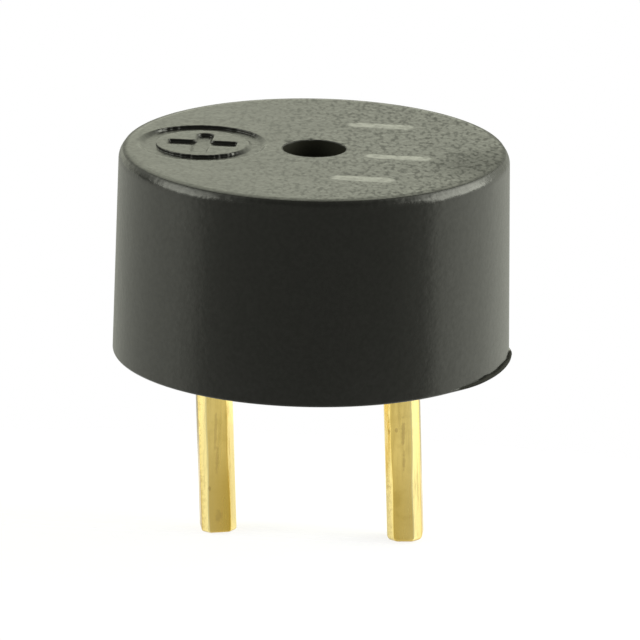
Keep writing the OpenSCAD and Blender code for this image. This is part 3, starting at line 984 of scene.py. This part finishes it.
def wetted(start, sign):
    """The section of the resin from its back to its face, beside what it wets.

    It goes down at start and then out from it, and its face has climbed by what
    a quarter circle leaves of CLIMB at that distance.
    """
    out = np.linspace(0.0, CLIMB_WIDTH, 9)
    share = out / CLIMB_WIDTH
    climb = CLIMB * (1.0 - np.sqrt(1.0 - (1.0 - share) ** 2))
    return np.r_[[(start, RESIN_BACK)], np.c_[start + sign * out, RESIN_FACE - climb]]


def pin_path(side, turn_angle):
    """The outline of a pin where it leaves the resin, and its outward normals."""
    path, normals = pin_outline(PIN_CUT)
    drift = (RESIN_FACE + PIN_LENGTH / 2.0) * np.tan(PIN_LEAN)
    centre = (side * PIN_PITCH / 2.0 - drift, 0.0)
    spin = turn_matrix(turn_angle).T
    return path @ spin + centre, normals @ spin


wall = carried(wetted(bore_r - CASE_GAP, -1.0), on_axis, spokes)
collars = [
    carried(wetted(PIN_GAP, 1.0), *pin_path(side, turn_angle))
    for side, turn_angle in ((-1.0, POSITIVE_TURN), (1.0, NEGATIVE_TURN))
]
patches = [(wall, grid_faces(wall)[:, ::-1])]
patches += [(collar, grid_faces(collar)) for collar in collars]
holes = [collar[-1, :, :2] for collar in collars]
face, triangles = flat_fill(RESIN_FACE, wall[-1, :, :2], holes, spread=0.25)
patches.append((face, triangles[:, ::-1]))
holes = [collar[0, :, :2] for collar in collars]
patches.append(flat_fill(RESIN_BACK, wall[0, :, :2], holes, spread=0.5))
make_piece("poured_resin", patches, resin, "sealing_resin")

# ---------------------------------------------------------------------------
# The coil: enamelled copper wire wound in layers on the core, with a lead to
# each pin. Its outside and its top follow the round turns of the wire, each a
# pitch further on after one turn.
# ---------------------------------------------------------------------------

COIL_R = (0.81, 1.93)
COIL_Z = (1.85, 2.85)
COIL_PITCH = 0.0833
PER_TURN = 6  # rows of the grid to each turn of wire
TURN_DEPTH = 0.9  # how much of the hollow between two round turns stays open

enamel, tree = new_material("enamelled_copper")
shade = noise(tree, object_mm(tree), 3.0, 3.0, 0.6, (1.0, 1.0, 4.0))
surface(
    tree,
    Base_Color=mix_colour(tree, shade, (0.5, 0.17, 0.05, 1.0), (0.78, 0.34, 0.13, 1.0)),
    Metallic=0.9,
    Roughness=ramp(tree, shade, 0.3, 0.7, 0.2, 0.4),
    Coat_Weight=0.6,
    Coat_Roughness=0.12,
)


def hollows(along):
    """How deep a winding lies below its crowns, at distances along it and at each spoke.

    Each pitch is a half circle, and the pattern moves on by one in a full turn.
    """
    phase = along[:, None] / COIL_PITCH - turn[None] / (2.0 * np.pi)
    share = 2.0 * (phase % 1.0) - 1.0
    half_round = 1.0 - np.sqrt(np.clip(1.0 - share**2, 0.0, 1.0))
    return COIL_PITCH / 2.0 * half_round * TURN_DEPTH


def rows(start, end):
    """Even steps from start to end, PER_TURN of them to each turn of wire."""
    return np.linspace(start, end, round(abs(end - start) / COIL_PITCH) * PER_TURN + 1)


def give_finish(material, *nodes):
    """Give a finish to CAD nodes whose shape stays."""
    for node in nodes:
        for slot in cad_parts[node].material_slots:
            slot.material = material


coil_in, coil_out = COIL_R
coil_foot, coil_top = COIL_Z
rise = rows(coil_foot, coil_top)
out = rows(coil_out, coil_in)
side_r = coil_out - hollows(rise - coil_foot)
side_z = np.broadcast_to(rise[:, None], side_r.shape)
top_z = coil_top - hollows(coil_out - out)
top_r = np.broadcast_to(out[:, None], top_z.shape)
foot_z = np.full((1, TURN_STEPS), coil_foot)
coil_r = np.concatenate([side_r, top_r[1:], np.full_like(foot_z, coil_in), side_r[:1]])
coil_z = np.concatenate([side_z, top_z[1:], foot_z, foot_z])
coil = np.stack([coil_r * spokes[:, 0], coil_r * spokes[:, 1], coil_z], axis=-1)
make_piece("wound_coil", [(coil, grid_faces(coil))], enamel, "coil")
give_finish(enamel, "coil_lead_positive", "coil_lead_negative")

# ---------------------------------------------------------------------------
# Core, yoke plate, diaphragm and its weight: steel, turned or stamped, which
# keeps fine tool lines. The core's stub is pressed through the yoke plate, and
# the weight is welded to the diaphragm, which the magnet holds on its seat.
# ---------------------------------------------------------------------------

steel, tree = new_material("steel")
millimetres = object_mm(tree)
tool_lines = noise(tree, millimetres, 7.0, 4.0, 0.6, (0.12, 1.0, 1.0))
shade = noise(tree, millimetres, 1.2, 3.0)
surface(
    tree, product(tree, tool_lines, 0.006),
    Base_Color=mix_colour(tree, shade, (0.44, 0.45, 0.46, 1.0), (0.66, 0.66, 0.66, 1.0)),
    Metallic=1.0,
    Roughness=ramp(tree, tool_lines, 0.3, 0.7, 0.25, 0.45),
)
give_finish(steel, "core", "yoke_plate", "diaphragm", "diaphragm_weight")

# ---------------------------------------------------------------------------
# The magnet: a ring of pressed and sintered ferrite, dark grey and finely
# speckled, which stands on the yoke plate round the coil.
# ---------------------------------------------------------------------------

ferrite, tree = new_material("ferrite")
specks = noise(tree, object_mm(tree), 18.0, 3.0, 0.7)
surface(
    tree, product(tree, specks, 0.01),
    Base_Color=mix_colour(tree, specks, (0.035, 0.035, 0.04, 1.0), (0.1, 0.1, 0.105, 1.0)),
    Roughness=ramp(tree, specks, 0.3, 0.7, 0.45, 0.7),
)
give_finish(ferrite, "magnet_ring")

# ---------------------------------------------------------------------------
# The support ring: moulded in ivory plastic, with a seat for the diaphragm's
# edge. It stands on the yoke plate round the magnet, under the case's ledge.
# ---------------------------------------------------------------------------

ring_plastic, tree = new_material("ring_plastic")
millimetres = object_mm(tree)
cloud = noise(tree, millimetres, 1.1, 3.0)
surface(
    tree, product(tree, noise(tree, millimetres, 9.0), 0.006),
    Base_Color=mix_colour(tree, cloud, (0.66, 0.62, 0.52, 1.0), (0.76, 0.73, 0.65, 1.0)),
    Roughness=0.4,
    Subsurface_Weight=0.1,
    Subsurface_Radius=(0.3 * MM, 0.25 * MM, 0.15 * MM),
)
give_finish(ring_plastic, "support_ring")

# ---------------------------------------------------------------------------
# The board: resin-bonded paper, brown, with its fibres showing. It is punched
# for the core, the leads and the pins, and lies under the yoke plate.
# ---------------------------------------------------------------------------

laminate, tree = new_material("laminate")
fibres = noise(tree, object_mm(tree), 6.0, 4.0, 0.6, (1.0, 0.25, 1.0))
surface(
    tree, product(tree, fibres, 0.008),
    Base_Color=mix_colour(tree, fibres, (0.34, 0.22, 0.08, 1.0), (0.5, 0.37, 0.17, 1.0)),
    Roughness=0.45,
)
give_finish(laminate, "base_board")

# ---------------------------------------------------------------------------
# Solder: a fillet of bright tin alloy, a little frosted as it froze, between the
# board and each pin, with the end of the coil's lead in it.
# ---------------------------------------------------------------------------

solder, tree = new_material("solder")
frost = noise(tree, object_mm(tree), 8.0, 4.0, 0.6)
surface(
    tree, product(tree, frost, 0.01),
    Base_Color=mix_colour(tree, frost, (0.6, 0.61, 0.63, 1.0), (0.8, 0.8, 0.8, 1.0)),
    Metallic=1.0,
    Roughness=ramp(tree, frost, 0.3, 0.7, 0.16, 0.4),
)
give_finish(solder, "solder_positive", "solder_negative")
